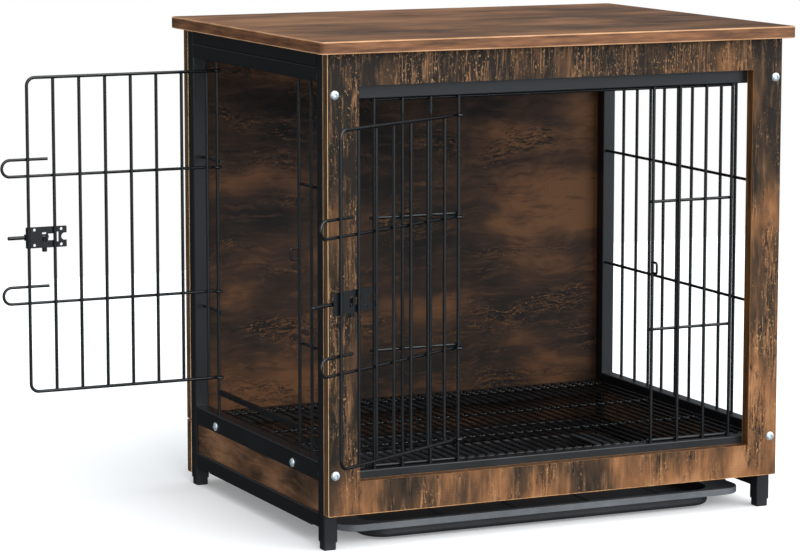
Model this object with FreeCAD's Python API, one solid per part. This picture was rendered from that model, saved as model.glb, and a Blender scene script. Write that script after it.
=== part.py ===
"""Dog crate end table: square steel tube frame, wire walls, wooden boards, two doors and a tray.

The origin lies on the floor under the middle of the body. X is the width, Y the depth with the
front at -Y, and Z points up. All sizes are millimetres.
"""

import math
import os

import FreeCAD
import Part

V = FreeCAD.Vector

# ---- driving dimensions: body and boards ----
body_width = 660.0
body_depth = 500.0
under_top = 639.0
board = 16.0
top_overhang = 14.0
top_corner_radius = 7.0
board_arris = 0.8
panel_bottom = 47.0
panel_stile = 43.5
opening_bottom = 90.5
opening_drop = 41.5
opening_corner_radius = 2.0
back_seam = 90.5
back_seam_gap = 1.0
back_bottom = 15.0
skirt_thickness = 12.0
skirt_recess = 3.0

# ---- driving dimensions: steel tube frame ----
tube = 19.0
tube_wall = 1.2
foot_height = 10.3
foot_width = 16.8
foot_chamfer = 2.0
foot_stem = 18.0
fit_gap = 0.3
bottom_rail_bottom = 28.0
side_floor_rail_height = 25.0
side_floor_rail_top = 113.5
front_floor_rail_top = 101.0
front_header_drop = 41.0

# ---- driving dimensions: wires ----
bar_radius = 2.2
cross_radius = 2.0
front_hinge_in = 175.5
doorway = 286.0
front_pitch = 39.8
front_bar_margin = 30.0
front_cross_drops = (214.0, 385.5)
front_top_wire_drop = 62.7
wire_overhang = 4.0
side_first_bar = 75.2
side_pitch = 39.8
left_stub_drops = (176.2, 384.5)
right_cross_drops = (196.0, 360.8)
right_bar_back_margin = 44.0
right_bar_front_margin = 20.0
sill_rise = 33.5
sill_height = 7.0
sill_thickness = 4.4

# ---- driving dimensions: floor grid ----
grid_wire_radius = 1.5
grid_cross_radius = 2.0
grid_pitch = 14.4
grid_end_rest = 3.0
grid_cross_shares = (0.014, 0.313, 0.645, 0.98)

# ---- driving dimensions: doors and latches ----
door_foot_gap = 28.1
door_pitch = 36.6
door_bar_margin = 12.0
door_corner_radius = 11.0
door_cross_drops = (132.0, 303.5)
door_bolt_drop = 215.0
front_door_width = 250.0
front_door_drop = 86.4
front_door_open = 151.0
side_door_width = 271.0
side_door_drop = 51.7
side_door_open = 90.0
eye_sweep = 250.0
eye_bend_start = 16.0
hook_height = 22.4
hook_tip_past_jamb = 22.0
front_hook_tip_past_jamb = 1.0
hook_return = 29.0
plate_thickness = 1.5
plate_height = 28.5
side_plate_past_bar = 3.3
side_plate_length = 57.4
front_plate_past_bar = 10.7
front_plate_length = 79.0
plate_hole_radius = 2.0
plate_hole_drop = 10.4
plate_hole_shares = (0.212, 0.868)
plate_windows = ((0.40, 0.50, 6.5), (0.545, 0.70, 4.5), (0.757, 0.80, 6.6))
notch_radius = 4.85
notch_centre_in = 2.8
plate_corner_radius = 1.5
bolt_radius = 2.5
bolt_tip_past_jamb = 12.0
spigot_radius = 1.5
handle_ring_radius = 3.6
handle_ring_length = 7.4
front_handle_in = 31.0
side_handle_in = 24.3
handle_radius = 3.4
handle_drop = 20.2
handle_tip_radius = 1.0
bolt_head_length = 1.4
running_fit = 0.1
strap_length = 6.0
strap_wall = 1.2
strap_positions = (0.0, 12.0)
keeper_radius = 1.6
keeper_half_height = 7.2
keeper_bend = 3.0

# ---- driving dimensions: tray and runners ----
tray_side_gap = 12.4
tray_front_gap = 28.0
tray_back_gap = 38.0
tray_top = 27.0
tray_lip = 9.0
tray_wall = 2.5
tray_side_rim = 40.0
tray_end_rim = 7.0
tray_bottom = 4.4
tray_rim_corner = 30.0
tray_body_corner = 34.0
tray_bottom_round = 6.0
tray_ribs = 5
tray_rib_width = 10.0
tray_rib_height = 1.6
tray_rib_margin = 40.0
runner_wall = 1.5
runner_reach = 27.0
runner_start = 65.0

# ---- driving dimensions: bolts and screws ----
panel_bolt_rise = 100.5
panel_bolt_drop = 52.0
bolt_head_radius = 6.0
bolt_head_height = 3.0
bolt_head_round = 1.6
bolt_socket_radius = 2.0
bolt_socket_depth = 1.6
shank_radius = 3.0
shank_clearance = 0.2
shank_bite = 6.0
rail_bolt_ends = (84.0, 74.0)
rail_bolt_level = 97.0
back_bolt_rises = (52.0, 130.0)
screw_radius = 2.0
screw_head_radius = 4.0
screw_head_height = 2.2
screw_bite = 11.0
screw_clearance = 0.1
screw_spacing = 400.0

# ---- derived positions ----
half_width = body_width / 2
half_depth = body_depth / 2
front_face = -half_depth
back_face = half_depth
post_front = front_face + board
post_back = back_face - board
inner_front = post_front + tube
inner_back = post_back - tube
inner_side = half_width - tube
post_centre_x = half_width - tube / 2
wire_front = post_front + tube / 2
wire_side = half_width - tube / 2
cross_offset = bar_radius + cross_radius
opening_top = under_top - opening_drop
side_header_bottom = under_top - 2 * tube
front_header_bottom = under_top - front_header_drop - tube
side_floor_rail_bottom = side_floor_rail_top - side_floor_rail_height
skirt_bottom = bottom_rail_bottom + tube
sill_top = side_floor_rail_top + sill_rise
left_bar_ys = [front_face + side_first_bar + k * side_pitch for k in range(2)]
side_jamb_y = left_bar_ys[1]
side_hinge_y = side_jamb_y + doorway
front_hinge_x = front_hinge_in - inner_side
front_jamb_x = front_hinge_x + doorway
front_left_count = int((front_hinge_in - front_bar_margin) / front_pitch)
front_right_count = int((inner_side - front_bar_margin - front_jamb_x) / front_pitch)
right_bar_span = inner_back - right_bar_back_margin - inner_front - right_bar_front_margin
right_bar_count = 1 + int(right_bar_span / side_pitch)
front_cross_levels = [under_top - drop for drop in front_cross_drops]
left_stub_levels = [under_top - drop for drop in left_stub_drops]
right_cross_levels = [under_top - drop for drop in right_cross_drops]
grid_wire_count = int(2 * inner_side / grid_pitch)
front_door_top = under_top - front_door_drop
side_door_top = under_top - side_door_drop
door_height = front_door_top - front_floor_rail_top - door_foot_gap
front_bolt_level = front_door_top - door_bolt_drop
side_bolt_level = side_door_top - door_bolt_drop
tray_half_width = inner_side - tray_side_gap
tray_front = front_face + tray_front_gap
tray_back = back_face - tray_back_gap
panel_bolt_levels = (panel_bolt_rise, under_top - panel_bolt_drop)
back_bolt_levels = (*back_bolt_rises, under_top - panel_bolt_drop)

# ---- derived door layers, measured outwards from the hinge axis ----
cross_eye = bar_radius + fit_gap + cross_radius
frame_eye = bar_radius + fit_gap + bar_radius
bar_layer = cross_eye - cross_radius - bar_radius
plate_inner = bar_layer + bar_radius
plate_outer = plate_inner + plate_thickness
bolt_layer = plate_outer + fit_gap + handle_ring_radius
keeper_reach = bolt_layer + bolt_radius + fit_gap + keeper_radius


def block(x0, x1, y0, y1, z0, z1):
    """Box between two corners."""
    return Part.makeBox(x1 - x0, y1 - y0, z1 - z0, V(x0, y0, z0))


def rod(start, end, radius):
    """Round bar from one point to another."""
    axis = end - start
    return Part.makeCylinder(radius, axis.Length, start, axis)


def edges_along(shape, direction):
    """Straight edges of a shape that run along one axis."""
    found = []
    for edge in shape.Edges:
        if isinstance(edge.Curve, Part.Line):
            run = edge.tangentAt(edge.FirstParameter)
            if abs(run.dot(direction)) > 0.999:
                found.append(edge)
    return found


def rounded_block(x0, x1, y0, y1, z0, z1, radius):
    """Box with rounded upright corners."""
    shape = block(x0, x1, y0, y1, z0, z1)
    return shape.makeFillet(radius, edges_along(shape, V(0, 0, 1)))


def edges_at_level(shape, level):
    """Edges of a shape that lie in one horizontal plane."""
    found = []
    for edge in shape.Edges:
        box = edge.BoundBox
        if abs(box.ZMin - level) < 1e-6 and abs(box.ZMax - level) < 1e-6:
            found.append(edge)
    return found


def hollow(x0, x1, y0, y1, z0, z1, axis):
    """Square tube, open at both ends along the given axis."""
    shape = block(x0, x1, y0, y1, z0, z1)
    inset_x = 0 if axis == "x" else tube_wall
    inset_y = 0 if axis == "y" else tube_wall
    inset_z = 0 if axis == "z" else tube_wall
    bore = block(x0 + inset_x, x1 - inset_x, y0 + inset_y, y1 - inset_y, z0 + inset_z, z1 - inset_z)
    return shape.cut(bore)


def sweep(edges, radius):
    """Round wire bent along a path of joined edges."""
    path = Part.Wire(edges)
    first = edges[0]
    start = first.valueAt(first.FirstParameter)
    run = first.tangentAt(first.FirstParameter)
    profile = Part.Wire(Part.makeCircle(radius, start, run))
    return path.makePipeShell([profile], True, False, 1)


def arc(a, b, c):
    """Circular edge through three points."""
    return Part.Arc(a, b, c).toShape()


def line(a, b):
    """Straight edge between two points."""
    return Part.LineSegment(a, b).toShape()


def save(name, shape):
    """Write one node of the assembly."""
    shape.exportStep("parts/" + name + ".step")


# ---- bolts: the head's seat is at the point, the shank runs along the direction ----
def socket_bolt(seat, direction, length):
    """Round-headed bolt with a socket."""
    top = seat - direction * bolt_head_height
    head = Part.makeCylinder(bolt_head_radius, bolt_head_height, top, direction)
    rim = [e for e in head.Edges if e.Closed and e.CenterOfMass.distanceToPoint(top) < bolt_head_round]
    head = head.makeFillet(bolt_head_round, rim)
    socket = Part.makeCylinder(bolt_socket_radius, bolt_socket_depth, top, direction)
    shank = Part.makeCylinder(shank_radius, length, seat, direction)
    return head.cut(socket).fuse(shank).removeSplitter()


def bolt_hole(seat, direction, length):
    """Clearance hole for a bolt."""
    return Part.makeCylinder(shank_radius + shank_clearance, length, seat, direction)


front_bolt_seats = [V(sx * post_centre_x, front_face, z) for sx in (-1, 1) for z in panel_bolt_levels]
front_bolt_length = board + tube_wall + shank_bite
back_bolt_seats = [V(sx * post_centre_x, back_face, z) for sx in (-1, 1) for z in back_bolt_levels]
rail_bolt_ys = (inner_front + rail_bolt_ends[0], inner_back - rail_bolt_ends[1])
inwards_from_front = V(0, 1, 0)
inwards_from_back = V(0, -1, 0)


def drilled(shape, seats, direction):
    """Shape with a clearance hole at every bolt seat."""
    for seat in seats:
        shape = shape.cut(bolt_hole(seat, direction, front_bolt_length))
    return shape


# ---- wooden boards ----
def table_top():
    """Top board with rounded corners and eased edges."""
    x = half_width + top_overhang
    y = half_depth + top_overhang
    shape = rounded_block(-x, x, -y, y, under_top, under_top + board, top_corner_radius)
    shape = shape.makeChamfer(board_arris, edges_at_level(shape, under_top + board))
    for seat in screw_seats:
        pilot = Part.makeCylinder(screw_radius + screw_clearance, screw_bite + tube, seat, V(0, 0, 1))
        shape = shape.cut(pilot)
    return shape


def front_panel():
    """Front board with the large opening cut out of it."""
    shape = block(-half_width, half_width, front_face, post_front, panel_bottom, under_top)
    x = half_width - panel_stile
    hole = block(-x, x, front_face, post_front, opening_bottom, opening_top)
    hole = hole.makeFillet(opening_corner_radius, edges_along(hole, V(0, 1, 0)))
    return drilled(shape.cut(hole), front_bolt_seats, inwards_from_front)


def back_board(bottom, top):
    """Plain board across the back."""
    shape = block(-half_width, half_width, post_back, back_face, bottom, top)
    return drilled(shape, back_bolt_seats, inwards_from_back)


def skirt(side):
    """Low board between the side's bottom rail and floor rail."""
    outer = side * (half_width - skirt_recess)
    inner = side * (half_width - skirt_recess - skirt_thickness)
    xs = sorted((outer, inner))
    return block(xs[0], xs[1], inner_front, inner_back, skirt_bottom, side_floor_rail_bottom)


# ---- steel frame ----
def post(sx, sy):
    """Upright tube in one corner."""
    xs = sorted((sx * half_width, sx * inner_side))
    ys = (post_front, inner_front) if sy < 0 else (inner_back, post_back)
    shape = hollow(xs[0], xs[1], ys[0], ys[1], foot_height, under_top, "z")
    if sy < 0:
        return drilled(shape, front_bolt_seats, inwards_from_front)
    return drilled(shape, back_bolt_seats, inwards_from_back)


def foot(sx, sy):
    """Plastic plug foot with a stem inside the post."""
    cx = sx * post_centre_x
    cy = (post_front + tube / 2) if sy < 0 else (post_back - tube / 2)
    half = foot_width / 2
    pad = rounded_block(cx - half, cx + half, cy - half, cy + half, 0, foot_height, foot_chamfer)
    pad = pad.makeChamfer(foot_chamfer / 2, edges_at_level(pad, 0))
    stem_half = tube / 2 - tube_wall - fit_gap / 2
    stem_top = foot_height + foot_stem
    stem = block(cx - stem_half, cx + stem_half, cy - stem_half, cy + stem_half, foot_height, stem_top)
    return pad.fuse(stem).removeSplitter()


def cross_rail(y0, y1, bottom):
    """Tube across the width between two posts."""
    return hollow(-inner_side, inner_side, y0, y1, bottom, bottom + tube, "x")


def side_rail(side, bottom, top):
    """Tube along the depth between two posts."""
    xs = sorted((side * half_width, side * inner_side))
    return hollow(xs[0], xs[1], inner_front, inner_back, bottom, top, "y")


def side_floor_rail(side):
    """Floor rail of one side, with the bolt holes through it."""
    shape = side_rail(side, side_floor_rail_bottom, side_floor_rail_top)
    for y in rail_bolt_ys:
        seat = V(side * half_width, y, rail_bolt_level)
        shape = shape.cut(bolt_hole(seat, V(-side, 0, 0), tube))
    return shape


def screw_holes(shape):
    """Clearance holes for the table top's screws."""
    for seat in screw_seats:
        shape = shape.cut(Part.makeCylinder(screw_radius + screw_clearance, tube, seat, V(0, 0, 1)))
    return shape


screw_level = under_top - tube
screw_rows = (post_front + tube / 2, post_back - tube / 2)
screw_seats = [V(sx * screw_spacing / 2, y, screw_level) for sx in (-1, 1) for y in screw_rows]


def table_screw(seat):
    """Pan-headed screw, head below the rail."""
    head = Part.makeCylinder(screw_head_radius, screw_head_height, seat - V(0, 0, screw_head_height))
    shank = Part.makeCylinder(screw_radius, tube + screw_bite, seat)
    return head.fuse(shank)


# ---- fixed wires of the front ----
def front_grille(bar_xs):
    """Fixed front bars with two cross wires and a foot wire on their inner side."""
    solids = []
    for x in bar_xs:
        solids.append(rod(V(x, wire_front, front_floor_rail_top), V(x, wire_front, front_header_bottom),
                          bar_radius))
    start = min(bar_xs) - wire_overhang
    end = max(bar_xs) + wire_overhang
    y = wire_front + cross_offset
    levels = list(front_cross_levels) + [front_floor_rail_top + cross_radius]
    for z in levels:
        solids.append(rod(V(start, y, z), V(end, y, z), cross_radius))
    return Part.makeCompound(solids)


def front_top_cross():
    """Wire that runs across the front just below the header."""
    y = wire_front + cross_offset
    start = front_hinge_x - front_left_count * front_pitch - wire_overhang
    end = front_jamb_x + front_right_count * front_pitch + wire_overhang
    level = under_top - front_top_wire_drop
    return rod(V(start, y, level), V(end, y, level), cross_radius)


# ---- fixed wires of the sides ----
def side_bar(side, y):
    """Upright bar of one side wall."""
    x = side * wire_side
    return rod(V(x, y, side_floor_rail_top), V(x, y, side_header_bottom), bar_radius)


def side_cross(side, y0, y1, z):
    """Wire along the depth on the inner side of the bars."""
    x = side * (wire_side - cross_offset)
    return rod(V(x, y0, z), V(x, y1, z), cross_radius)


def left_grille():
    """The two fixed bars in front of the side doorway."""
    solids = [side_bar(-1, y) for y in left_bar_ys]
    for z in left_stub_levels:
        solids.append(side_cross(-1, inner_front, side_jamb_y + wire_overhang, z))
    return Part.makeCompound(solids)


def left_hinge_bar():
    """The side door's hinge bar with its two ties to the back post."""
    solids = [side_bar(-1, side_hinge_y)]
    for z in left_stub_levels:
        solids.append(side_cross(-1, side_hinge_y - wire_overhang, inner_back, z))
    return Part.makeCompound(solids)


def left_sill():
    """Flat bar under the side doorway."""
    x = -wire_side
    half = sill_thickness / 2
    return block(x - half, x + half, side_jamb_y + bar_radius, side_hinge_y - bar_radius,
                 sill_top - sill_height, sill_top)


def right_grille():
    """Wire wall of the right side."""
    solids = []
    for k in range(right_bar_count):
        solids.append(side_bar(1, inner_back - right_bar_back_margin - k * side_pitch))
    for z in right_cross_levels:
        solids.append(side_cross(1, inner_front, inner_back, z))
    return Part.makeCompound(solids)


def keeper(place):
    """Staple on a jamb bar that the bolt slides into, placed by a function of reach and height."""
    half = keeper_half_height
    bend = keeper_bend
    near = bar_radius
    far = keeper_reach
    slope = bend * (1 - math.sqrt(0.5))
    edges = [
        line(place(near, half), place(far - bend, half)),
        arc(place(far - bend, half), place(far - slope, half - slope), place(far, half - bend)),
        line(place(far, half - bend), place(far, bend - half)),
        arc(place(far, bend - half), place(far - slope, slope - half), place(far - bend, -half)),
        line(place(far - bend, -half), place(near, -half)),
    ]
    return sweep(edges, keeper_radius)


def front_keeper():
    """Keeper on the front doorway's jamb bar."""
    return keeper(lambda out, up: V(front_jamb_x, wire_front - out, front_bolt_level + up))


def side_keeper():
    """Keeper on the side doorway's jamb bar."""
    return keeper(lambda out, up: V(-wire_side - out, side_jamb_y, side_bolt_level + up))


# ---- floor grid ----
def floor_grid():
    """Close wires front to back on four cross wires."""
    solids = []
    y0 = inner_front - grid_end_rest
    y1 = inner_back + grid_end_rest
    z = front_floor_rail_top + grid_wire_radius
    start = -grid_pitch * (grid_wire_count - 1) / 2
    for k in range(grid_wire_count):
        x = start + k * grid_pitch
        solids.append(rod(V(x, y0, z), V(x, y1, z), grid_wire_radius))
    reach = -start + grid_wire_radius
    level = front_floor_rail_top - grid_cross_radius
    for share in grid_cross_shares:
        y = inner_front + share * (inner_back - inner_front)
        solids.append(rod(V(-reach, y, level), V(reach, y, level), grid_cross_radius))
    return Part.makeCompound(solids)


# ---- doors, built closed along +X with the hinge axis on Z and the outer side at -Y ----
def eye_arc(radius, level, begin):
    """End of a wire curled round the hinge bar, from the angle where it meets the wire."""
    points = []
    for part in (0.0, 0.5, 1.0):
        angle = math.radians(begin + part * eye_sweep)
        points.append(V(radius * math.cos(angle), -radius * math.sin(angle), level))
    return arc(points[2], points[1], points[0])


def door_frame(width, top):
    """Outer wire of a door: top, free edge and bottom in one piece with an eye at each end."""
    bottom = top - door_height
    reach = math.hypot(eye_bend_start, bar_layer)
    begin = math.degrees(math.atan2(bar_layer, eye_bend_start) + math.acos(frame_eye / reach))
    touch_x = frame_eye * math.cos(math.radians(begin))
    touch_y = -frame_eye * math.sin(math.radians(begin))
    y = -bar_layer
    corner = door_corner_radius
    slope = corner * (1 - math.sqrt(0.5))
    lower_eye = eye_arc(frame_eye, bottom, begin)
    upper_eye = eye_arc(frame_eye, top, begin)
    edges = [
        upper_eye,
        line(V(touch_x, touch_y, top), V(eye_bend_start, y, top)),
        line(V(eye_bend_start, y, top), V(width - corner, y, top)),
        arc(V(width - corner, y, top), V(width - slope, y, top - slope), V(width, y, top - corner)),
        line(V(width, y, top - corner), V(width, y, bottom + corner)),
        arc(V(width, y, bottom + corner), V(width - slope, y, bottom + slope),
            V(width - corner, y, bottom)),
        line(V(width - corner, y, bottom), V(eye_bend_start, y, bottom)),
        line(V(eye_bend_start, y, bottom), V(touch_x, touch_y, bottom)),
        lower_eye,
    ]
    return sweep(edges, bar_radius)


def door_cross(width, level, tip):
    """Cross wire of a door: an eye at the hinge and a hook past the free edge."""
    y = -cross_eye
    half = hook_height / 2
    turn = tip - cross_radius - half
    edges = [
        eye_arc(cross_eye, level, 90.0),
        line(V(0, y, level), V(turn, y, level)),
        arc(V(turn, y, level), V(turn + half, y, level + half), V(turn, y, level + hook_height)),
        line(V(turn, y, level + hook_height), V(width - hook_return, y, level + hook_height)),
    ]
    return sweep(edges, cross_radius)


def door_grille(width, top, tip):
    """All wires of one door."""
    solids = [door_frame(width, top)]
    bottom = top - door_height
    bars = int((width - door_bar_margin) / door_pitch)
    for k in range(1, bars + 1):
        x = width - k * door_pitch
        solids.append(rod(V(x, -bar_layer, bottom + bar_radius), V(x, -bar_layer, top - bar_radius),
                          bar_radius))
    for drop in door_cross_drops:
        solids.append(door_cross(width, top - drop, tip))
    return Part.makeCompound(solids)


def latch_plate(width, level, past, length):
    """Plate across the free bar and its neighbours, with two straps that guide the bolt."""
    right = width + past
    left = right - length
    half = plate_height / 2
    shape = block(left, right, -plate_outer, -plate_inner, level - half, level + half)
    shape = shape.makeFillet(plate_corner_radius, edges_along(shape, V(0, 1, 0)))
    for share in plate_hole_shares:
        for side in (-1, 1):
            seat = V(right - share * length, -plate_outer, level + side * plate_hole_drop)
            shape = shape.cut(Part.makeCylinder(plate_hole_radius, plate_thickness, seat, V(0, 1, 0)))
    for near, far, rise in plate_windows:
        window = block(right - far * length, right - near * length, -plate_outer, -plate_inner,
                       level - rise, level + rise)
        shape = shape.cut(window)
    mouth = left + notch_centre_in
    shape = shape.cut(Part.makeCylinder(notch_radius, plate_thickness, V(mouth, -plate_outer, level),
                                        V(0, 1, 0)))
    shape = shape.cut(block(left, mouth, -plate_outer, -plate_inner, level - notch_radius,
                            level + notch_radius))
    space = bolt_radius + fit_gap
    shell = space + strap_wall
    for inset in strap_positions:
        x0 = width - inset - strap_length / 2
        x1 = x0 + strap_length
        strap = block(x0, x1, -bolt_layer - shell, -plate_outer, level - shell, level + shell)
        strap = strap.cut(block(x0, x1, -bolt_layer - space, -plate_outer, level - space, level + space))
        shape = shape.fuse(strap)
    return shape.removeSplitter()


def bolt_rod(width, level, handle_in):
    """Sliding bolt with a spigot and a head for the handle."""
    y = -bolt_layer
    shoulder = width - handle_in + handle_ring_length / 2 + fit_gap
    tail = width - handle_in - handle_ring_length / 2 - fit_gap
    tip = doorway + bolt_tip_past_jamb
    body = rod(V(shoulder, y, level), V(tip, y, level), bolt_radius)
    ends = [e for e in body.Edges if e.Closed and abs(e.CenterOfMass.x - tip) < fit_gap]
    body = body.makeChamfer(handle_tip_radius, ends)
    spigot = rod(V(tail, y, level), V(shoulder, y, level), spigot_radius)
    head = rod(V(tail - bolt_head_length, y, level), V(tail, y, level), bolt_radius)
    return body.fuse(spigot).fuse(head).removeSplitter()


def bolt_handle(width, level, handle_in):
    """Handle that turns on the bolt's spigot and hangs down."""
    y = -bolt_layer
    x0 = width - handle_in - handle_ring_length / 2
    x1 = x0 + handle_ring_length
    ring = rod(V(x0, y, level), V(x1, y, level), handle_ring_radius)
    lever = rod(V(width - handle_in, y, level), V(width - handle_in, y, level - handle_drop), handle_radius)
    bottom = edges_at_level(lever, level - handle_drop)
    lever = lever.makeFillet(handle_tip_radius, bottom)
    bore = rod(V(x0, y, level), V(x1, y, level), spigot_radius + running_fit)
    return ring.fuse(lever).cut(bore).removeSplitter()


def place_front(shape):
    """Turn a part of the front door from closed to its open pose."""
    moved = shape.copy()
    moved.rotate(V(0, 0, 0), V(0, 0, 1), -front_door_open)
    moved.translate(V(front_hinge_x, wire_front, 0))
    return moved


def place_side(shape):
    """Turn a part of the side door from closed to its open pose."""
    moved = shape.copy()
    moved.rotate(V(0, 0, 0), V(0, 0, 1), -90.0 - side_door_open)
    moved.translate(V(-wire_side, side_hinge_y, 0))
    return moved


# ---- tray and its runners ----
def tray():
    """Plastic tray with a wide rim, a turned-down lip and low ribs."""
    x = tray_half_width
    y0 = tray_front
    y1 = tray_back
    rim = rounded_block(-x, x, y0, y1, tray_top - tray_lip, tray_top, tray_rim_corner)
    under = tray_wall
    lip_space = rounded_block(-x + under, x - under, y0 + under, y1 - under, tray_top - tray_lip,
                              tray_top - under, tray_rim_corner - under)
    bx = x - tray_side_rim
    by0 = y0 + tray_end_rim
    by1 = y1 - tray_end_rim
    body = rounded_block(-bx, bx, by0, by1, tray_bottom, tray_top, tray_body_corner)
    body = body.makeFillet(tray_bottom_round, edges_at_level(body, tray_bottom))
    inner = rounded_block(-bx + under, bx - under, by0 + under, by1 - under, tray_bottom + under,
                          tray_top, tray_body_corner - under)
    inner = inner.makeFillet(tray_bottom_round - under, edges_at_level(inner, tray_bottom + under))
    shape = rim.cut(lip_space).fuse(body).cut(inner)
    span = 2 * (bx - tray_rib_margin)
    step = span / (tray_ribs - 1)
    for k in range(tray_ribs):
        centre = -span / 2 + k * step
        low = tray_bottom + under
        rib = block(centre - tray_rib_width / 2, centre + tray_rib_width / 2, by0 + tray_rib_margin,
                    by1 - tray_rib_margin, low, low + tray_rib_height)
        shape = shape.fuse(rib)
    return shape.removeSplitter()


def runner(side):
    """Angle under a bottom rail that carries the tray's lip."""
    top = tray_top - tray_lip - fit_gap
    web_xs = sorted((side * inner_side, side * (inner_side - runner_wall)))
    flange_xs = sorted((side * inner_side, side * (inner_side - runner_reach)))
    start = inner_front + runner_start
    web = block(web_xs[0], web_xs[1], start, inner_back, top - runner_wall, bottom_rail_bottom + tube)
    flange = block(flange_xs[0], flange_xs[1], start, inner_back, top - runner_wall, top)
    return web.fuse(flange).removeSplitter()


# ---- write every node ----
os.makedirs("parts", exist_ok=True)

save("table_top", table_top())
save("front_panel", front_panel())
save("back_panel", back_board(back_seam + back_seam_gap / 2, under_top))
save("back_lower_board", back_board(back_bottom, back_seam - back_seam_gap / 2))

for sy, row in ((-1, "front"), (1, "back")):
    for sx, column in ((-1, "left"), (1, "right")):
        save("post_" + row + "_" + column, post(sx, sy))
        save("foot_" + row + "_" + column, foot(sx, sy))

for side, name in ((-1, "left"), (1, "right")):
    save(name + "_skirt_board", skirt(side))
    save(name + "_top_rail", side_rail(side, under_top - tube, under_top))
    save(name + "_header_rail", side_rail(side, side_header_bottom, under_top - tube))
    save(name + "_floor_rail", side_floor_rail(side))
    save(name + "_bottom_rail", side_rail(side, bottom_rail_bottom, skirt_bottom))
    save(name + "_tray_runner", runner(side))
    rail_bolts = []
    for y in rail_bolt_ys:
        seat = V(side * half_width, y, rail_bolt_level)
        rail_bolts.append(socket_bolt(seat, V(-side, 0, 0), tube))
    save(name + "_rail_bolts", Part.makeCompound(rail_bolts))

save("front_top_rail", screw_holes(cross_rail(post_front, inner_front, under_top - tube)))
save("back_top_rail", screw_holes(cross_rail(inner_back, post_back, under_top - tube)))
save("front_header_rail", cross_rail(post_front, inner_front, front_header_bottom))
save("front_floor_rail", cross_rail(post_front, inner_front, front_floor_rail_top - tube))
save("back_floor_rail", cross_rail(inner_back, post_back, front_floor_rail_top - tube))
save("back_bottom_rail", cross_rail(inner_back, post_back, bottom_rail_bottom))

left_bars = [front_hinge_x - k * front_pitch for k in range(front_left_count + 1)]
right_bars = [front_jamb_x + k * front_pitch for k in range(front_right_count + 1)]
save("front_left_grille", front_grille(left_bars))
save("front_right_grille", front_grille(right_bars))
save("front_top_wire", front_top_cross())
save("left_grille", left_grille())
save("left_hinge_bar", left_hinge_bar())
save("left_door_sill", left_sill())
save("right_grille", right_grille())
save("front_keeper", front_keeper())
save("side_keeper", side_keeper())
save("floor_grid", floor_grid())

front_tip = doorway + front_hook_tip_past_jamb
save("front_door_grille", place_front(door_grille(front_door_width, front_door_top, front_tip)))
save("front_latch_plate", place_front(latch_plate(front_door_width, front_bolt_level,
                                                  front_plate_past_bar, front_plate_length)))
save("front_bolt_rod", place_front(bolt_rod(front_door_width, front_bolt_level, front_handle_in)))
save("front_bolt_handle", place_front(bolt_handle(front_door_width, front_bolt_level, front_handle_in)))

side_tip = doorway + hook_tip_past_jamb
save("side_door_grille", place_side(door_grille(side_door_width, side_door_top, side_tip)))
save("side_latch_plate", place_side(latch_plate(side_door_width, side_bolt_level,
                                                side_plate_past_bar, side_plate_length)))
save("side_bolt_rod", place_side(bolt_rod(side_door_width, side_bolt_level, side_handle_in)))
save("side_bolt_handle", place_side(bolt_handle(side_door_width, side_bolt_level, side_handle_in)))

save("tray", tray())
save("front_panel_bolts", Part.makeCompound(
    [socket_bolt(seat, inwards_from_front, front_bolt_length) for seat in front_bolt_seats]))
save("back_panel_bolts", Part.makeCompound(
    [socket_bolt(seat, inwards_from_back, front_bolt_length) for seat in back_bolt_seats]))
save("table_screws", Part.makeCompound([table_screw(seat) for seat in screw_seats]))
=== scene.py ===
"""Dog crate end table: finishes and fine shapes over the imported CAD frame.

Metres, with the origin on the floor under the middle of the body. The front faces -Y, Z is up.
"""

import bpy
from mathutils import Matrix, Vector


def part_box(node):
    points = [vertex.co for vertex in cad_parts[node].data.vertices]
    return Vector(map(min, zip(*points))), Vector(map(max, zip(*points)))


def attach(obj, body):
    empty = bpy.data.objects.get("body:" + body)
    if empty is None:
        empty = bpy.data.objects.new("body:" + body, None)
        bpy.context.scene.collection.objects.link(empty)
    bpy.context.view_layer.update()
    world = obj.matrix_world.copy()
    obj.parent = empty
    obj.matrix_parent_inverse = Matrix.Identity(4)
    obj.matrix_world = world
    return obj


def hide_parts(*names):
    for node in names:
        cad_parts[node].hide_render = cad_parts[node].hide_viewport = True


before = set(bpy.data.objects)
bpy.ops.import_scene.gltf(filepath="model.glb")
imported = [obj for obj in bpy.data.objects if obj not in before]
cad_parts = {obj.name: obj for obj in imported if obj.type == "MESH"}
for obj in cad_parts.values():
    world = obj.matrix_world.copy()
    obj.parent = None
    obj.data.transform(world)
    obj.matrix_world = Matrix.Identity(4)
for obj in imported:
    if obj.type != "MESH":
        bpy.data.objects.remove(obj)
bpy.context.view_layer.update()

import math

import bmesh
import bpy
from mathutils import Vector

# ---------------------------------------------------------------------------------------------
# Steel tube frame: 19 mm square tube, roll-formed with small outer radii, welded at the corners
# and powder coated black. The coat is satin, slightly blue, with a fine orange-peel skin.
# ---------------------------------------------------------------------------------------------
tube_corner = 0.0014
tube_nodes = [
    "post_front_left", "post_front_right", "post_back_left", "post_back_right",
    "left_top_rail", "left_header_rail", "left_floor_rail", "left_bottom_rail",
    "right_top_rail", "right_header_rail", "right_floor_rail", "right_bottom_rail",
    "front_top_rail", "front_header_rail", "front_floor_rail",
    "back_top_rail", "back_floor_rail", "back_bottom_rail",
]


def linear(code):
    """An sRGB hex colour as the linear one that sockets take."""
    parts = [int(code[k:k + 2], 16) / 255 for k in (1, 3, 5)]
    return [p / 12.92 if p <= 0.04045 else ((p + 0.055) / 1.055) ** 2.4 for p in parts] + [1.0]


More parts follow.
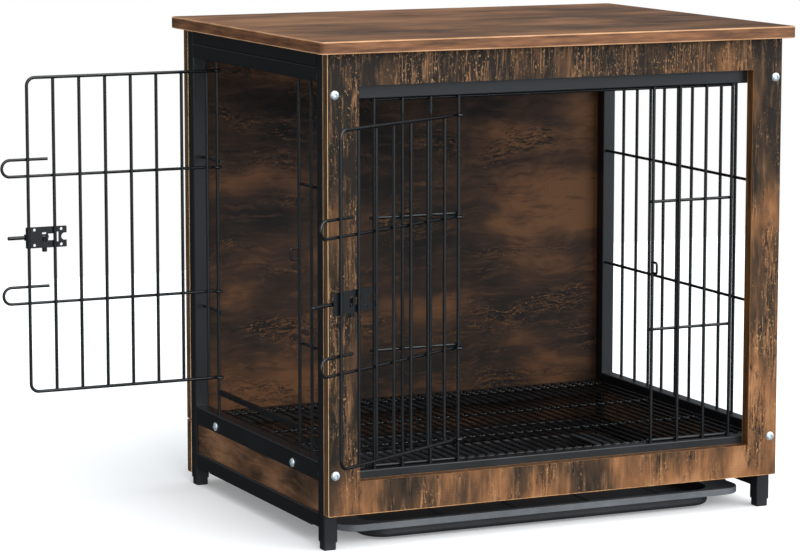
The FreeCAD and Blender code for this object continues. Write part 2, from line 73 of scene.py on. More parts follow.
def add(tree, kind, inputs=None, **settings):
    """Adds a node. An input that is another node's socket is linked, any other is set."""
    made = tree.nodes.new(kind)
    for name, value in settings.items():
        setattr(made, name, value)
    for key, value in (inputs or {}).items():
        if isinstance(value, bpy.types.NodeSocket):
            tree.links.new(value, made.inputs[key])
        else:
            made.inputs[key].default_value = value
    return made


def new_finish(name):
    """An empty material and its node tree."""
    finish = bpy.data.materials.new(name)
    finish.use_nodes = True
    finish.node_tree.nodes.clear()
    return finish, finish.node_tree


def grain_size(millimetres):
    """Noise scale whose features are that wide."""
    return 1000 / millimetres


def powder_coat(name, colour, roughness, peel_mm, peel_height):
    """Polyester powder coat baked on steel: satin, with a soft orange-peel bump."""
    finish, tree = new_finish(name)
    place = add(tree, "ShaderNodeTexCoord").outputs["Object"]
    peel = add(tree, "ShaderNodeTexNoise", {"Vector": place, "Scale": grain_size(peel_mm), "Detail": 2.0})
    dust = add(tree, "ShaderNodeTexNoise", {"Vector": place, "Scale": grain_size(60), "Detail": 4.0,
               "Roughness": 0.6})
    tone = add(tree, "ShaderNodeValToRGB", {"Fac": dust.outputs["Fac"]})
    tone.color_ramp.elements[0].position = 0.3
    tone.color_ramp.elements[0].color = linear(colour[0])
    tone.color_ramp.elements[1].position = 0.75
    tone.color_ramp.elements[1].color = linear(colour[1])
    gloss = add(tree, "ShaderNodeMapRange", {"Value": dust.outputs["Fac"], "From Min": 0.3,
                "From Max": 0.7, "To Min": roughness - 0.04, "To Max": roughness + 0.05})
    bump = add(tree, "ShaderNodeBump", {"Height": peel.outputs["Fac"], "Strength": 0.35,
               "Distance": peel_height})
    shader = add(tree, "ShaderNodeBsdfPrincipled", {"Base Color": tone.outputs["Color"],
                 "Roughness": gloss.outputs["Result"], "Normal": bump.outputs["Normal"],
                 "Specular IOR Level": 0.5})
    add(tree, "ShaderNodeOutputMaterial", {"Surface": shader.outputs["BSDF"]})
    return finish


def solid_copy(node):
    """A CAD node's mesh with its corners joined and its flat faces whole again."""
    shape = bmesh.new()
    shape.from_mesh(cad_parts[node].data)
    bmesh.ops.remove_doubles(shape, verts=shape.verts, dist=1e-6)
    bmesh.ops.dissolve_limit(shape, angle_limit=math.radians(1), verts=shape.verts, edges=shape.edges)
    return shape


def plain_mesh(thing):
    """Applies an object's modifiers to its mesh."""
    bpy.context.view_layer.update()
    mesh = bpy.data.meshes.new_from_object(thing.evaluated_get(bpy.context.evaluated_depsgraph_get()))
    thing.modifiers.clear()
    thing.data = mesh
    return thing


def eased_piece(name, shape, edges, width, steps, finishes, arris=-1):
    """A piece whose chosen edges are rounded over, with an own finish on the rounding if asked."""
    shape.edges.index_update()
    chosen = {edge.index for edge in edges}
    weight = shape.edges.layers.float.new("bevel_weight_edge")
    for edge in shape.edges:
        edge[weight] = float(edge.index in chosen)
    mesh = bpy.data.meshes.new(name)
    shape.to_mesh(mesh)
    shape.free()
    for finish in finishes:
        mesh.materials.append(finish)
    mesh.polygons.foreach_set("use_smooth", [True] * len(mesh.polygons))
    mesh.set_sharp_from_angle(angle=math.radians(40))
    piece = bpy.data.objects.new(name, mesh)
    bpy.context.scene.collection.objects.link(piece)
    rounding = piece.modifiers.new("rounding", "BEVEL")
    rounding.limit_method = "WEIGHT"
    rounding.width = width
    rounding.segments = steps
    rounding.material = arris
    rounding.use_clamp_overlap = False
    piece.modifiers.new("flat faces", "WEIGHTED_NORMAL").keep_sharp = True
    return plain_mesh(piece)


def outer_long_edges(shape, box, shortest):
    """Edges along a tube, on the outside of its four corners."""
    low, high = box
    found = []
    for edge in shape.edges:
        if edge.calc_length() < shortest:
            continue
        ends = [v.co for v in edge.verts]
        at_limit = sum(
            all(min(abs(p[axis] - low[axis]), abs(p[axis] - high[axis])) < 1e-5 for p in ends)
            and abs(ends[0][axis] - ends[1][axis]) < 1e-6
            for axis in range(3))
        if at_limit == 2:
            found.append(edge)
    return found


black_coat = powder_coat("satin black powder coat", ("#0b0d10", "#101317"), 0.34, 1.6, 0.0002)
for node in tube_nodes:
    shape = solid_copy(node)
    edges = outer_long_edges(shape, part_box(node), 0.03)
    piece = eased_piece(node + "_tube", shape, edges, tube_corner, 3, [black_coat])
    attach(piece, "crate")
    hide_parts(node)

# ---------------------------------------------------------------------------------------------
# Wires of the walls, doors and floor: drawn steel wire, straightened, bent to hooks and eyes,
# spot welded and powder coated with the frame, so the coat is the same but a little glossier.
# ---------------------------------------------------------------------------------------------
wire_nodes = [
    "front_left_grille", "front_right_grille", "front_top_wire", "left_grille", "left_hinge_bar",
    "left_door_sill", "right_grille", "front_keeper", "side_keeper", "front_door_grille",
    "side_door_grille", "floor_grid", "left_tray_runner", "right_tray_runner",
]


def finish_solid(node, finish):
    """Gives a CAD solid that stays as it is its own finish."""
    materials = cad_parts[node].data.materials
    materials.clear()
    materials.append(finish)


wire_coat = powder_coat("black powder coated wire", ("#08090b", "#0d1013"), 0.27, 1.2, 0.0001)
for node in wire_nodes:
    finish_solid(node, wire_coat)

# ---------------------------------------------------------------------------------------------
# Wooden boards: particleboard with a printed rustic laminate, sawn to size. The cut edges carry
# a warm edge band, and the arrises show as thin tan lines where the laminate stops.
# ---------------------------------------------------------------------------------------------
arris_width = 0.0010
cream_arris_beyond = -0.3


def rustic_laminate(name, along, tones, tilt, bend_mm, patch_mm, shift, contrast, fleck, flecked,
                    worn, saw, gloss):
    """Melamine paper printed like old boards: satin, with soft patches and fine broken grain.

    along is the grain's axis and tones run from the darkest patches to the lightest. tilt is how
    the ground tone lightens along each axis, per metre; on the back boards it is painted shade,
    darker towards the crate's floor. bend_mm is how far the grain wanders. patch_mm is the size
    of the patches and shift where in the pattern the board was cut from. contrast, flecked, worn
    and saw are the strengths of the streaks, pale flecks, dark cracks and saw marks.
    """
    finish, tree = new_finish(name)
    place = add(tree, "ShaderNodeTexCoord").outputs["Object"]
    waves = add(tree, "ShaderNodeTexNoise", {"Vector": place, "Scale": grain_size(70), "Detail": 2.0,
                "Roughness": 0.5})
    drift = add(tree, "ShaderNodeVectorMath", {0: waves.outputs["Color"], 1: (0.5, 0.5, 0.5)},
                operation="SUBTRACT")
    bend = add(tree, "ShaderNodeVectorMath", {0: drift.outputs[0], "Scale": bend_mm / 1000},
               operation="SCALE")
    bent = add(tree, "ShaderNodeVectorMath", {0: place, 1: bend.outputs[0]}, operation="ADD").outputs[0]

    # Each layer: its width across the grain in mm, its scale along the grain, its place in the
    # pattern, its detail and its roughness. The finest are drawn about twice as coarse as printed,
    # because the real ones wouldn't show at this distance.
    layers = {
        "clouds": (patch_mm, 0.45, shift, 4.0, 0.55),
        "grain": (8, 0.07, shift, 5.0, 0.65),
        "streaks": (2.9, 0.055, (4.1, 2.7, 1.3), 3.0, 0.65),
        "cracks": (3.2, 0.22, (8.1, 0.7, 2.3), 3.0, 0.65),
        "crumbs": (2.0, 0.45, (1.9, 5.3, 3.7), 2.0, 0.6),
        "zones": (patch_mm * 0.55, 0.4, (2.2, 0.4, 6.1), 3.0, 0.6),
    }
    shown = {}
    for layer, (width_mm, stretch, begin, detail, roughness) in layers.items():
        stretched = add(tree, "ShaderNodeMapping", {"Vector": bent, "Location": begin,
                        "Scale": [stretch if axis == along else 1.0 for axis in "xyz"]})
        pattern = add(tree, "ShaderNodeTexNoise", {"Vector": stretched.outputs[0],
                      "Scale": grain_size(width_mm), "Detail": detail, "Roughness": roughness})
        shown[layer] = pattern.outputs["Fac"]
    saw_pitch = 0.0042
    teeth = add(tree, "ShaderNodeTexWave", {"Vector": bent, "Scale": 0.314 / saw_pitch, "Distortion": 5.0,
                "Detail": 2.0, "Detail Scale": 0.6}, bands_direction=along.upper())
    shown["saw marks"] = teeth.outputs["Fac"]

    # The ground tone follows the clouds and the tilt. Rough wear gathers in zones of its own.
    slope = add(tree, "ShaderNodeVectorMath", {0: place, 1: tilt}, operation="DOT_PRODUCT").outputs["Value"]
    shade = add(tree, "ShaderNodeMath", {0: shown["clouds"], 1: slope}, operation="ADD")
    ground = add(tree, "ShaderNodeValToRGB", {"Fac": shade.outputs[0]})
    stops = ground.color_ramp.elements
    for k, tone in enumerate(tones):
        stop = stops[k] if k < 2 else stops.new(1.0)
        stop.position = 0.32 + 0.36 * k / (len(tones) - 1)
        stop.color = linear(tone)
    wear = add(tree, "ShaderNodeMath", {0: slope, 1: -0.5, 2: shown["zones"]}, operation="MULTIPLY_ADD")
    rough_zone = add(tree, "ShaderNodeMapRange", {"Value": wear.outputs[0], "From Min": 0.47,
                     "From Max": 0.64}).outputs[0]
    smooth_zone = add(tree, "ShaderNodeMapRange", {"Value": shown["zones"], "From Min": 0.5,
                      "From Max": 0.4}).outputs[0]

    # The inks, in the order they are printed: colour, layer, where in the layer the ink starts and
    # where it is full, how strong it is then, and the zone that it keeps to, 1.0 being everywhere.
    inks = (
        (tones[0], "grain", 0.54, 0.72, 0.6, 1.0),
        (tones[-1], "grain", 0.46, 0.30, 0.4, 1.0),
        (tones[0], "streaks", 0.48, 0.60, contrast, rough_zone),
        (tones[-1], "streaks", 0.47, 0.36, contrast, rough_zone),
        ("#0d0906", "cracks", 0.55, 0.62, worn, rough_zone),
        ("#1a110b", "saw marks", 0.55, 0.85, saw, smooth_zone),
        (fleck, "crumbs", 0.61, 0.67, flecked, rough_zone),
    )
    tint = ground.outputs["Color"]
    for ink, layer, begins, full, strength, zone in inks:
        spread = add(tree, "ShaderNodeMapRange", {"Value": shown[layer], "From Min": begins,
                     "From Max": full, "To Max": strength})
        kept = add(tree, "ShaderNodeMath", {0: spread.outputs[0], 1: zone}, operation="MULTIPLY")
        tint = add(tree, "ShaderNodeMix", {0: kept.outputs[0], 6: tint, 7: linear(ink)},
                   data_type="RGBA").outputs[2]

    rough = add(tree, "ShaderNodeMapRange", {"Value": shown["grain"], "From Min": 0.3, "From Max": 0.7,
                "To Min": gloss - 0.05, "To Max": gloss + 0.1})
    bump = add(tree, "ShaderNodeBump", {"Height": shown["cracks"], "Strength": 0.3, "Distance": 0.0002})
    shader = add(tree, "ShaderNodeBsdfPrincipled", {"Base Color": tint, "Roughness": rough.outputs[0],
                 "Normal": bump.outputs[0], "Specular IOR Level": 0.2})
    add(tree, "ShaderNodeOutputMaterial", {"Surface": shader.outputs[0]})
    return finish


def edge_band(name, along, dark, light):
    """Thin wood-coloured strip glued on the board's cut edge, with faint grain."""
    finish, tree = new_finish(name)
    place = add(tree, "ShaderNodeTexCoord").outputs["Object"]
    grain = add(tree, "ShaderNodeMapping", {"Vector": place,
                "Scale": [0.1 if axis in along else 1.0 for axis in "xyz"]})
    veins = add(tree, "ShaderNodeTexNoise", {"Vector": grain.outputs[0], "Scale": grain_size(6),
                "Detail": 5.0, "Roughness": 0.65})
    tone = add(tree, "ShaderNodeValToRGB", {"Fac": veins.outputs[0]})
    tone.color_ramp.elements[0].position = 0.35
    tone.color_ramp.elements[0].color = linear(dark)
    tone.color_ramp.elements[1].position = 0.68
    tone.color_ramp.elements[1].color = linear(light)
    bump = add(tree, "ShaderNodeBump", {"Height": veins.outputs[0], "Strength": 0.2, "Distance": 0.0002})
    shader = add(tree, "ShaderNodeBsdfPrincipled", {"Base Color": tone.outputs[0], "Roughness": 0.5,
                 "Normal": bump.outputs[0], "Specular IOR Level": 0.3})
    add(tree, "ShaderNodeOutputMaterial", {"Surface": shader.outputs[0]})
    return finish


def long_outer_edges(shape, shortest):
    """Edges where two faces meet squarely, apart from those of small holes."""
    squarely = 1.2
    return [edge for edge in shape.edges if len(edge.link_faces) == 2
            and edge.calc_length() > shortest and edge.calc_face_angle() > squarely]


upright_laminate = rustic_laminate(
    "rustic laminate, upright grain", along="z", tones=("#1c150e", "#46301c", "#714a2b", "#976b47"),
    tilt=(0.13, 0.0, -0.30), bend_mm=8, patch_mm=60, shift=(0.37, 0.0, 0.08), contrast=0.6,
    fleck="#c49a66", flecked=0.5, worn=0.9, saw=0.08, gloss=0.5)
# The back boards face into the crate. Their tones are darkened and their tilt darkens them towards the
# floor: painted shade of the crate's inside.
back_laminate_in_painted_shade = rustic_laminate(
    "rustic laminate, level grain, in painted shade", along="x", tones=("#080605", "#19110b", "#342114", "#5e3d23"),
    tilt=(0.03, 0.0, 0.18), bend_mm=34, patch_mm=90, shift=(0.0, 0.0, -0.08), contrast=0.9,
    fleck="#936a3c", flecked=0.45, worn=0.95, saw=0.1, gloss=0.5)
side_laminate = rustic_laminate(
    "rustic laminate, side grain", along="y", tones=("#251a12", "#4a3321", "#755034", "#92694a"),
    tilt=(0.0, 0.0, 0.0), bend_mm=14, patch_mm=80, shift=(0.3, 0.2, 0.1), contrast=0.4,
    fleck="#b8916a", flecked=0.3, worn=0.4, saw=0.5, gloss=0.5)
upright_band = edge_band("edge band, upright", "z", "#352213", "#6e4826")
level_band = edge_band("edge band, level", "xy", "#3d2814", "#6d4a2c")
tan_arris = edge_band("tan laminate arris", "z", "#94693f", "#c4925f")
cream_arris = edge_band("cream laminate arris", "z", "#d9b27c", "#ffe6b4")

board_finishes = {
    "front_panel": (upright_laminate, upright_band, 1),
    "back_panel": (back_laminate_in_painted_shade, upright_band, 1),
    "back_lower_board": (back_laminate_in_painted_shade, upright_band, 1),
    "left_skirt_board": (side_laminate, level_band, 0),
    "right_skirt_board": (side_laminate, level_band, 0),
}
for node, (laminate, band, face_axis) in board_finishes.items():
    shape = solid_copy(node)
    for face in shape.faces:
        face.material_index = 0 if abs(face.normal[face_axis]) > 0.9 else 1
    edges = long_outer_edges(shape, 0.004)
    piece = eased_piece(node + "_board", shape, edges, arris_width, 2,
                        [laminate, band, tan_arris, cream_arris], arris=2)
    for face in piece.data.polygons:
        upright = abs(face.normal.z) < 0.1
        if face.material_index == 2 and upright and face.center.x < cream_arris_beyond:
            face.material_index = 3
    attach(piece, "crate")
    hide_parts(node)

# ---------------------------------------------------------------------------------------------
# Table top: the same board with a plainer, lighter print along its width. Its corners are
# rounded, and the band glued on its edges is rounded over on both arrises, which carry a
# painted highlight in a lighter tan.
# ---------------------------------------------------------------------------------------------
top_corner_radius = 0.007
top_corner_steps = 8
top_rounding = 0.0016

top_low, top_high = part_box("table_top")
shape = bmesh.new()
ring = []
for sx, sy, start in ((1, 1, 0), (-1, 1, 90), (-1, -1, 180), (1, -1, 270)):
    centre_x = sx * (top_high.x - top_corner_radius)
    centre_y = sy * (top_high.y - top_corner_radius)
    for step in range(top_corner_steps + 1):
        angle = math.radians(start + 90 * step / top_corner_steps)
        ring.append(shape.verts.new((centre_x + top_corner_radius * math.cos(angle),
                                     centre_y + top_corner_radius * math.sin(angle), top_low.z)))
base = shape.faces.new(ring)
raised = bmesh.ops.extrude_face_region(shape, geom=[base])
for vertex in raised["geom"]:
    if isinstance(vertex, bmesh.types.BMVert):
        vertex.co.z = top_high.z
bmesh.ops.recalc_face_normals(shape, faces=shape.faces)
for face in shape.faces:
    face.material_index = 0 if abs(face.normal.z) > 0.9 else 1
rims = [edge for edge in long_outer_edges(shape, 0.0)
        if abs(edge.verts[0].co.z - edge.verts[1].co.z) < 1e-6]
top_laminate = rustic_laminate(
    "rustic laminate, table top", along="x", tones=("#3f2919", "#5e4029", "#7a5336", "#8f6746"),
    tilt=(-0.07, 0.05, 0.0), bend_mm=14, patch_mm=85, shift=(0.2, 0.6, 0.0), contrast=0.12,
    fleck="#a07a5b", flecked=0.0, worn=0.0, saw=0.0, gloss=0.46)
top_band = edge_band("edge band, table top", "xy", "#4a2e1b", "#845736")
# The rounded arrises take a lighter tan than the band: a painted highlight.
top_arris_painted_highlight = edge_band("rounded arris, table top, painted highlight", "xy", "#a2744f", "#cfa077")
table_top = eased_piece("table_top_board", shape, rims, top_rounding, 3,
                        [top_laminate, top_band, top_arris_painted_highlight], arris=2)
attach(table_top, "crate")
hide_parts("table_top")

# ---------------------------------------------------------------------------------------------
# Door furniture: the latch plates are pressed from 1.5 mm sheet, the bolts and their handles
# formed from rod, all coated black with the doors. The press leaves the plates' edges soft.
# ---------------------------------------------------------------------------------------------
plate_easing = 0.00025

for node, door in (("front_latch_plate", "front_door"), ("side_latch_plate", "side_door")):
    shape = solid_copy(node)
    edges = long_outer_edges(shape, 0.0005)
    piece = eased_piece(node + "_pressed", shape, edges, plate_easing, 2, [black_coat])
    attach(piece, door)
    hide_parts(node)
for node in ("front_bolt_rod", "side_bolt_rod", "front_bolt_handle", "side_bolt_handle"):
    finish_solid(node, wire_coat)

# ---------------------------------------------------------------------------------------------
# Spot welds: where two wires cross, the welder's tips squeeze a small nugget of steel out
# between them. It is coated with the wires and shows as a slight thickening of the crossing.
# ---------------------------------------------------------------------------------------------
nugget_radius = 0.0021
nugget_height = 0.0013
wire_radius = 0.0020
wire_thickest = 0.006
bar_thickest = 0.008
touching = 0.003


def wire_boxes(node):
    """Boxes round the separate wires of one node."""
    shape = bmesh.new()
    shape.from_mesh(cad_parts[node].data)
    bmesh.ops.remove_doubles(shape, verts=shape.verts, dist=1e-6)
    shape.verts.ensure_lookup_table()
    waiting = set(range(len(shape.verts)))
    boxes = []
    while waiting:
        reached = [shape.verts[waiting.pop()]]
        low = reached[0].co.copy()
        high = reached[0].co.copy()
        while reached:
            vertex = reached.pop()
            for axis in range(3):
                low[axis] = min(low[axis], vertex.co[axis])
                high[axis] = max(high[axis], vertex.co[axis])
            for edge in vertex.link_edges:
                other = edge.other_vert(vertex)
                if other.index in waiting:
                    waiting.discard(other.index)
                    reached.append(other)
        boxes.append((low, high))
    shape.free()
    return boxes


def crossings(node):
    """Points where a node's upright bars touch its level wires, with the way from bar to wire."""
    boxes = wire_boxes(node)
    bars = [(low, high) for low, high in boxes
            if high.z - low.z > 0.3 and max(high.x - low.x, high.y - low.y) < bar_thickest]
    wires = [(low, high) for low, high in boxes if high.z - low.z < 0.05]
    found = []
    for bar_low, bar_high in bars:
        centre = (bar_low + bar_high) / 2
        for low, high in wires:
            if not all(low[axis] - touching < centre[axis] < high[axis] + touching for axis in (0, 1)):
                continue
            if not bar_low.z - touching < low.z < bar_high.z:
                continue
            away = Vector((0, 0, 0))
            if high.x - low.x < wire_thickest:
                away.x = (low.x + high.x) / 2 - centre.x
            elif high.y - low.y < wire_thickest:
                away.y = (low.y + high.y) / 2 - centre.y
            bar_radius = (bar_high.x - bar_low.x) / 2
            hooked = high.z - low.z > wire_thickest
            level = low.z + (wire_radius if hooked else (high.z - low.z) / 2)
            spot = Vector((centre.x, centre.y, level)) + away.normalized() * bar_radius
            found.append((spot, away.normalized()))
    return found


def strewn(name, places, tree_of, inputs, body):
    """One piece that a Geometry Nodes tree sets at every place, applied to a plain mesh."""
    mesh = bpy.data.meshes.new(name)
    mesh.from_pydata([spot for spot, way in places], [], [])
    ways = mesh.attributes.new("way", "FLOAT_VECTOR", "POINT")
    for k, (spot, way) in enumerate(places):
        ways.data[k].vector = way
    piece = bpy.data.objects.new(name, mesh)
    bpy.context.scene.collection.objects.link(piece)
    setter = piece.modifiers.new("set at every place", "NODES")
    setter.node_group = tree_of
    for item in tree_of.interface.items_tree:
        if item.item_type == "SOCKET" and item.in_out == "INPUT" and item.name in inputs:
            setter[item.identifier] = inputs[item.name]
    plain_mesh(piece)
    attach(piece, body)
    return piece


def new_maker(name, sizes):
    """A Geometry Nodes tree with a named input for each size and one for its finish."""
    maker = bpy.data.node_groups.new(name, "GeometryNodeTree")
    maker.interface.new_socket("Places", in_out="INPUT", socket_type="NodeSocketGeometry")
    for size in sizes:
        maker.interface.new_socket(size, in_out="INPUT", socket_type="NodeSocketFloat")
    maker.interface.new_socket("Finish", in_out="INPUT", socket_type="NodeSocketMaterial")
    maker.interface.new_socket("Pieces", in_out="OUTPUT", socket_type="NodeSocketGeometry")
    return maker, maker.nodes.new("NodeGroupInput").outputs


def set_at_places(maker, given, shape):
    """Ends a tree: the shape at every place with its Z along the way, realized and coated."""
    way = add(maker, "GeometryNodeInputNamedAttribute", {"Name": "way"}, data_type="FLOAT_VECTOR")
    turn = add(maker, "FunctionNodeAlignRotationToVector", {"Vector": way.outputs[0]}, axis="Z")
    placed = add(maker, "GeometryNodeInstanceOnPoints", {"Points": given["Places"], "Instance": shape,
                 "Rotation": turn.outputs[0]})
    real = add(maker, "GeometryNodeRealizeInstances", {"Geometry": placed.outputs[0]})
    done = add(maker, "GeometryNodeSetMaterial", {"Geometry": real.outputs[0], "Material": given["Finish"]})
    add(maker, "NodeGroupOutput", {"Pieces": done.outputs[0]})


nugget_maker, given = new_maker("spot weld nuggets", ("Radius", "Height"))
ball = add(nugget_maker, "GeometryNodeMeshUVSphere", {"Segments": 12, "Rings": 8,
           "Radius": given["Radius"]})
flat = add(nugget_maker, "ShaderNodeMath", {0: given["Height"], 1: given["Radius"]}, operation="DIVIDE")
squeeze = add(nugget_maker, "ShaderNodeCombineXYZ", {"X": 1.0, "Y": 1.0, "Z": flat.outputs[0]})
nugget = add(nugget_maker, "GeometryNodeTransform", {"Geometry": ball.outputs["Mesh"],
             "Scale": squeeze.outputs[0]})
round_nugget = add(nugget_maker, "GeometryNodeSetShadeSmooth", {"Geometry": nugget.outputs[0]})
set_at_places(nugget_maker, given, round_nugget.outputs[0])
nugget_sizes = {"Radius": nugget_radius, "Height": nugget_height, "Finish": wire_coat}
for node, body in (("front_left_grille", "crate"), ("front_right_grille", "crate"),
                   ("left_grille", "crate"), ("left_hinge_bar", "crate"), ("right_grille", "crate"),
                   ("front_door_grille", "front_door"), ("side_door_grille", "side_door")):
    strewn(node + "_welds", crossings(node), nugget_maker, nugget_sizes, body)

# ---------------------------------------------------------------------------------------------
# Tray and feet: the tray is formed from one sheet of black polypropylene with a fine grain.
# Its rim carries painted light, a lighter grey, and its body below the lip painted shade, a
# darker grey, as if under the rim's overhang. The feet are moulded plugs pushed into the posts.
# ---------------------------------------------------------------------------------------------


def moulded_plastic(name, colour, roughness, grain_mm):
    """Moulded polypropylene: matt, with the mould's fine spark-eroded grain."""
    finish, tree = new_finish(name)
    place = add(tree, "ShaderNodeTexCoord").outputs["Object"]
    grain = add(tree, "ShaderNodeTexNoise", {"Vector": place, "Scale": grain_size(grain_mm), "Detail": 3.0})
    scuffs = add(tree, "ShaderNodeTexNoise", {"Vector": place, "Scale": grain_size(80), "Detail": 6.0,
                 "Roughness": 0.7})
    tone = add(tree, "ShaderNodeValToRGB", {"Fac": scuffs.outputs[0]})
    tone.color_ramp.elements[0].position = 0.35
    tone.color_ramp.elements[0].color = linear(colour[0])
    tone.color_ramp.elements[1].position = 0.7
    tone.color_ramp.elements[1].color = linear(colour[1])
    bump = add(tree, "ShaderNodeBump", {"Height": grain.outputs[0], "Strength": 0.4, "Distance": 0.0002})
    shader = add(tree, "ShaderNodeBsdfPrincipled", {"Base Color": tone.outputs[0], "Roughness": roughness,
                 "Normal": bump.outputs[0], "Specular IOR Level": 0.4})
    add(tree, "ShaderNodeOutputMaterial", {"Surface": shader.outputs[0]})
    return finish


tray_easing = 0.0011
tray_lip = 0.0095
# The rim's lighter grey is painted light and the body's darker grey is painted shade.
tray_rim_painted_light = moulded_plastic("black polypropylene, rim in painted light", ("#4f5256", "#63666a"), 0.36, 1.4)
tray_body_painted_shade = moulded_plastic("black polypropylene, body in painted shade", ("#191a1c", "#242528"), 0.5, 1.2)
shape = solid_copy("tray")
lip_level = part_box("tray")[1].z - tray_lip
edges = [e for e in long_outer_edges(shape, 0.0005) if min(v.co.z for v in e.verts) > lip_level]
# Faces reaching below the lip take the body's painted shade; the rim above takes the painted light.
for face in shape.faces:
    face.material_index = int(min(v.co.z for v in face.verts) < lip_level)
tray = eased_piece("tray_moulding", shape, edges, tray_easing, 3, [tray_rim_painted_light, tray_body_painted_shade])
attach(tray, "tray")
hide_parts("tray")

foot_plastic = moulded_plastic("black polyethylene, smooth", ("#141517", "#1f2124"), 0.45, 0.8)
for node in ("foot_front_left", "foot_front_right", "foot_back_left", "foot_back_right"):
    finish_solid(node, foot_plastic)

# ---------------------------------------------------------------------------------------------
# Bolts and screws: cold-headed steel with a hexagon socket, bright zinc plated with a faint
# blue passivate. The same head is set at every seat. Its socket is painted shade: near black on
# its walls and a dimmer blue than the dome on its floor, partly the passivate's own tint.
# ---------------------------------------------------------------------------------------------


def zinc_finish(name, colour, metallic):
    """Zinc plate with a slightly uneven shine."""
    finish, tree = new_finish(name)
    place = add(tree, "ShaderNodeTexCoord").outputs["Object"]
    mottle = add(tree, "ShaderNodeTexNoise", {"Vector": place, "Scale": grain_size(2.5), "Detail": 3.0})
    gloss = add(tree, "ShaderNodeMapRange", {"Value": mottle.outputs[0], "From Min": 0.3, "From Max": 0.7,
                "To Min": 0.3, "To Max": 0.46})
    shader = add(tree, "ShaderNodeBsdfPrincipled", {"Base Color": linear(colour), "Metallic": metallic,
                 "Roughness": gloss.outputs[0]})
    add(tree, "ShaderNodeOutputMaterial", {"Surface": shader.outputs[0]})
    return finish


zinc_plate = zinc_finish("bright zinc plate", "#dfe8ec", 0.75)
# The socket's two finishes are painted shade of the recess: near black walls, a floor dimmer than the dome.
socket_floor_passivate_and_shade = zinc_finish("zinc in the socket, blue passivate in painted shade", "#8fb0ba", 0.3)
socket_wall_painted_shade = zinc_finish("zinc on the socket's walls, painted shade", "#1d282c", 0.0)
finish_solid("table_screws", zinc_plate)

head_radius = 0.006
head_height = 0.003
socket_width = 0.0052
socket_depth = 0.0022
socket_reach = 0.56 * socket_width
bolt_maker, given = new_maker("button heads with a hexagon socket",
                              ("Radius", "Height", "Socket width", "Socket depth"))
ball = add(bolt_maker, "GeometryNodeMeshUVSphere", {"Segments": 32, "Rings": 20, "Radius": 1.0})
where = add(bolt_maker, "GeometryNodeInputPosition")
parts = add(bolt_maker, "ShaderNodeSeparateXYZ", {0: where.outputs[0]})
raised = add(bolt_maker, "ShaderNodeMath", {0: parts.outputs["Z"], 1: 0.0}, operation="MAXIMUM")
domed = add(bolt_maker, "ShaderNodeMath", {0: raised.outputs[0], 1: given["Height"]}, operation="MULTIPLY")
wide_x = add(bolt_maker, "ShaderNodeMath", {0: parts.outputs["X"], 1: given["Radius"]},
             operation="MULTIPLY")
wide_y = add(bolt_maker, "ShaderNodeMath", {0: parts.outputs["Y"], 1: given["Radius"]},
             operation="MULTIPLY")
shaped = add(bolt_maker, "ShaderNodeCombineXYZ", {"X": wide_x.outputs[0], "Y": wide_y.outputs[0],
             "Z": domed.outputs[0]})
dome = add(bolt_maker, "GeometryNodeSetPosition", {"Geometry": ball.outputs["Mesh"],
           "Position": shaped.outputs[0]})
corner = add(bolt_maker, "ShaderNodeMath", {0: given["Socket width"], 1: math.sqrt(3)}, operation="DIVIDE")
deep = add(bolt_maker, "ShaderNodeMath", {0: given["Socket depth"], 1: 2.0}, operation="MULTIPLY")
key = add(bolt_maker, "GeometryNodeMeshCylinder", {"Vertices": 6, "Radius": corner.outputs[0],
          "Depth": deep.outputs[0]})
lift = add(bolt_maker, "ShaderNodeCombineXYZ", {"Z": given["Height"]})
raised_key = add(bolt_maker, "GeometryNodeTransform", {"Geometry": key.outputs["Mesh"],
                 "Translation": lift.outputs[0]})
welded = add(bolt_maker, "GeometryNodeMergeByDistance", {"Geometry": dome.outputs[0], "Distance": 1e-6})
head = add(bolt_maker, "GeometryNodeMeshBoolean", {"Mesh 1": welded.outputs[0],
           "Mesh 2": raised_key.outputs[0]}, operation="DIFFERENCE", solver="EXACT")
set_at_places(bolt_maker, given, head.outputs[0])
head_sizes = {"Radius": head_radius, "Height": head_height, "Socket width": socket_width,
              "Socket depth": socket_depth, "Finish": zinc_plate}
for node, way in (("front_panel_bolts", (0, -1, 0)), ("back_panel_bolts", (0, 1, 0)),
                  ("left_rail_bolts", (-1, 0, 0)), ("right_rail_bolts", (1, 0, 0))):
    outward = Vector(way)
    axis = 0 if way[0] else 1
    seats = []
    for low, high in wire_boxes(node):
        seat = (low + high) / 2
        seat[axis] = (high if way[axis] > 0 else low)[axis] - way[axis] * head_height
        seats.append((seat, outward))
    heads = strewn(node + "_heads", seats, bolt_maker, head_sizes, "crate")
    heads.data.set_sharp_from_angle(angle=math.radians(35))
    heads.data.materials.append(socket_floor_passivate_and_shade)
    heads.data.materials.append(socket_wall_painted_shade)
    # Faces inside the socket take the painted shade: the dimmer blue on its floor, the near black on its
    # walls.
    for face in heads.data.polygons:
        off_axis = min((face.center - seat).cross(outward).length for seat, facing in seats)
        if off_axis < socket_reach:
            face.material_index = 1 if face.normal.dot(outward) > 0.9 else 2
    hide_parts(node)

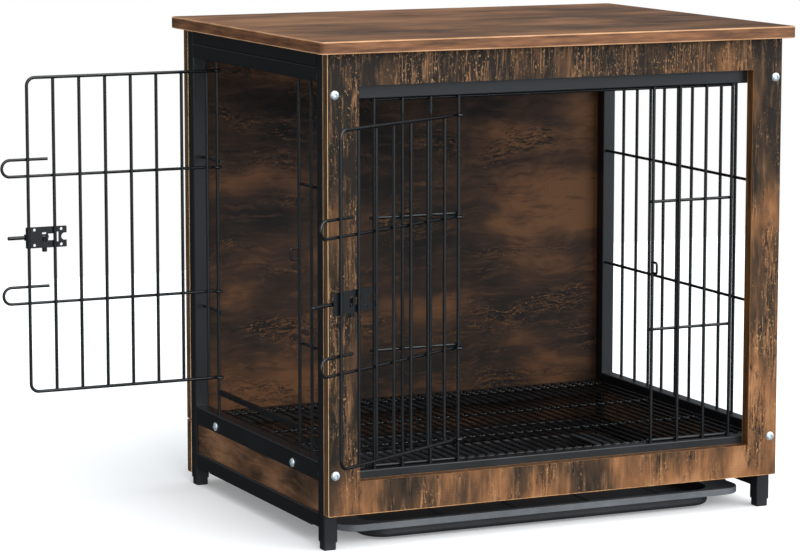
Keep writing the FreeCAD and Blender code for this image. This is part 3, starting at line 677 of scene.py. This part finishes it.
# ---------------------------------------------------------------------------------------------
# Stage: pale floor, white surroundings, soft studio light and the photograph's viewpoint. What
# the steel mirrors is a wall of light at the front right, which ends above the floor, a narrow
# panel at the left, which draws a bright line down each wire, and a dim ceiling.
# ---------------------------------------------------------------------------------------------
floor_reach = 2.2
floor_mesh = bpy.data.meshes.new("floor")
floor_mesh.from_pydata([(-floor_reach, -floor_reach, 0), (floor_reach, -floor_reach, 0),
                        (floor_reach, floor_reach, 0), (-floor_reach, floor_reach, 0)], [], [(0, 1, 2, 3)])
floor_finish, tree = new_finish("pale studio floor")
shader = add(tree, "ShaderNodeBsdfPrincipled", {"Base Color": linear("#f4f4f4"), "Roughness": 0.9,
             "Specular IOR Level": 0.1, "Emission Color": (1.0, 1.0, 1.0, 1.0),
             "Emission Strength": 0.22})
add(tree, "ShaderNodeOutputMaterial", {"Surface": shader.outputs[0]})
floor_mesh.materials.append(floor_finish)
floor = bpy.data.objects.new("floor", floor_mesh)
bpy.context.scene.collection.objects.link(floor)
floor.visible_glossy = False

wall_way = (0.42, -0.9, 0.1)
left_way = (-0.98, 0.2, 0.0)
world = bpy.data.worlds.new("white studio")
world.use_nodes = True
tree = world.node_tree
tree.nodes.clear()
seen = add(tree, "ShaderNodeBackground", {"Color": (1.0, 1.0, 1.0, 1.0), "Strength": 1.0})
way = add(tree, "ShaderNodeTexCoord").outputs["Generated"]
height = add(tree, "ShaderNodeSeparateXYZ", {0: way}).outputs["Z"]
to_wall = add(tree, "ShaderNodeVectorMath", {0: way, 1: wall_way}, operation="DOT_PRODUCT").outputs["Value"]
to_left = add(tree, "ShaderNodeVectorMath", {0: way, 1: left_way}, operation="DOT_PRODUCT").outputs["Value"]

# Each glow: what it follows, where it starts and is full, and its least and greatest strength.
glows = {}
for part, (follows, begins, full, least, greatest) in {
        "wall": (to_wall, 0.35, 0.85, 0.0, 1.5), "above the floor": (height, -0.20, -0.05, 0.12, 1.0),
        "left panel": (to_left, 0.90, 0.985, 0.0, 0.8), "ceiling": (height, -0.1, 0.5, 0.05, 0.4)}.items():
    glows[part] = add(tree, "ShaderNodeMapRange", {"Value": follows, "From Min": begins, "From Max": full,
                      "To Min": least, "To Max": greatest}, interpolation_type="SMOOTHSTEP").outputs[0]
front = add(tree, "ShaderNodeMath", {0: glows["wall"], 1: glows["above the floor"]}, operation="MULTIPLY")
panels = add(tree, "ShaderNodeMath", {0: front.outputs[0], 1: glows["left panel"]}, operation="MAXIMUM")
glow = add(tree, "ShaderNodeMath", {0: panels.outputs[0], 1: glows["ceiling"]}, operation="MAXIMUM")
around = add(tree, "ShaderNodeBackground", {"Color": (0.86, 0.94, 1.0, 1.0), "Strength": glow.outputs[0]})
ray = add(tree, "ShaderNodeLightPath")
both = add(tree, "ShaderNodeMixShader", {0: ray.outputs["Is Camera Ray"], 1: around.outputs[0],
           2: seen.outputs[0]})
add(tree, "ShaderNodeOutputWorld", {"Surface": both.outputs[0]})
bpy.context.scene.world = world

for name, towards, strength, spread in (("large softbox, front right", (0.35, -0.75, 1.0), 3.3, 90.0),
                                        ("low softbox, front", (-0.3, -1.0, 0.25), 0.5, 40.0)):
    lamp = bpy.data.lights.new(name, "SUN")
    lamp.energy = strength
    lamp.angle = math.radians(spread)
    holder = bpy.data.objects.new(name, lamp)
    holder.rotation_euler = Vector(towards).to_track_quat("Z", "Y").to_euler()
    bpy.context.scene.collection.objects.link(holder)

view = bpy.data.cameras.new("photograph's viewpoint")
view.lens = 150.48
view.sensor_width = 36.0
view.clip_end = 100.0
camera = bpy.data.objects.new("camera", view)
camera.location = (-1.9917, -4.0798, 0.9684)
camera.rotation_euler = (math.radians(81.69), 0.0, math.radians(-24.70))
bpy.context.scene.collection.objects.link(camera)
bpy.context.scene.camera = camera
bpy.context.scene.view_settings.view_transform = "Standard"
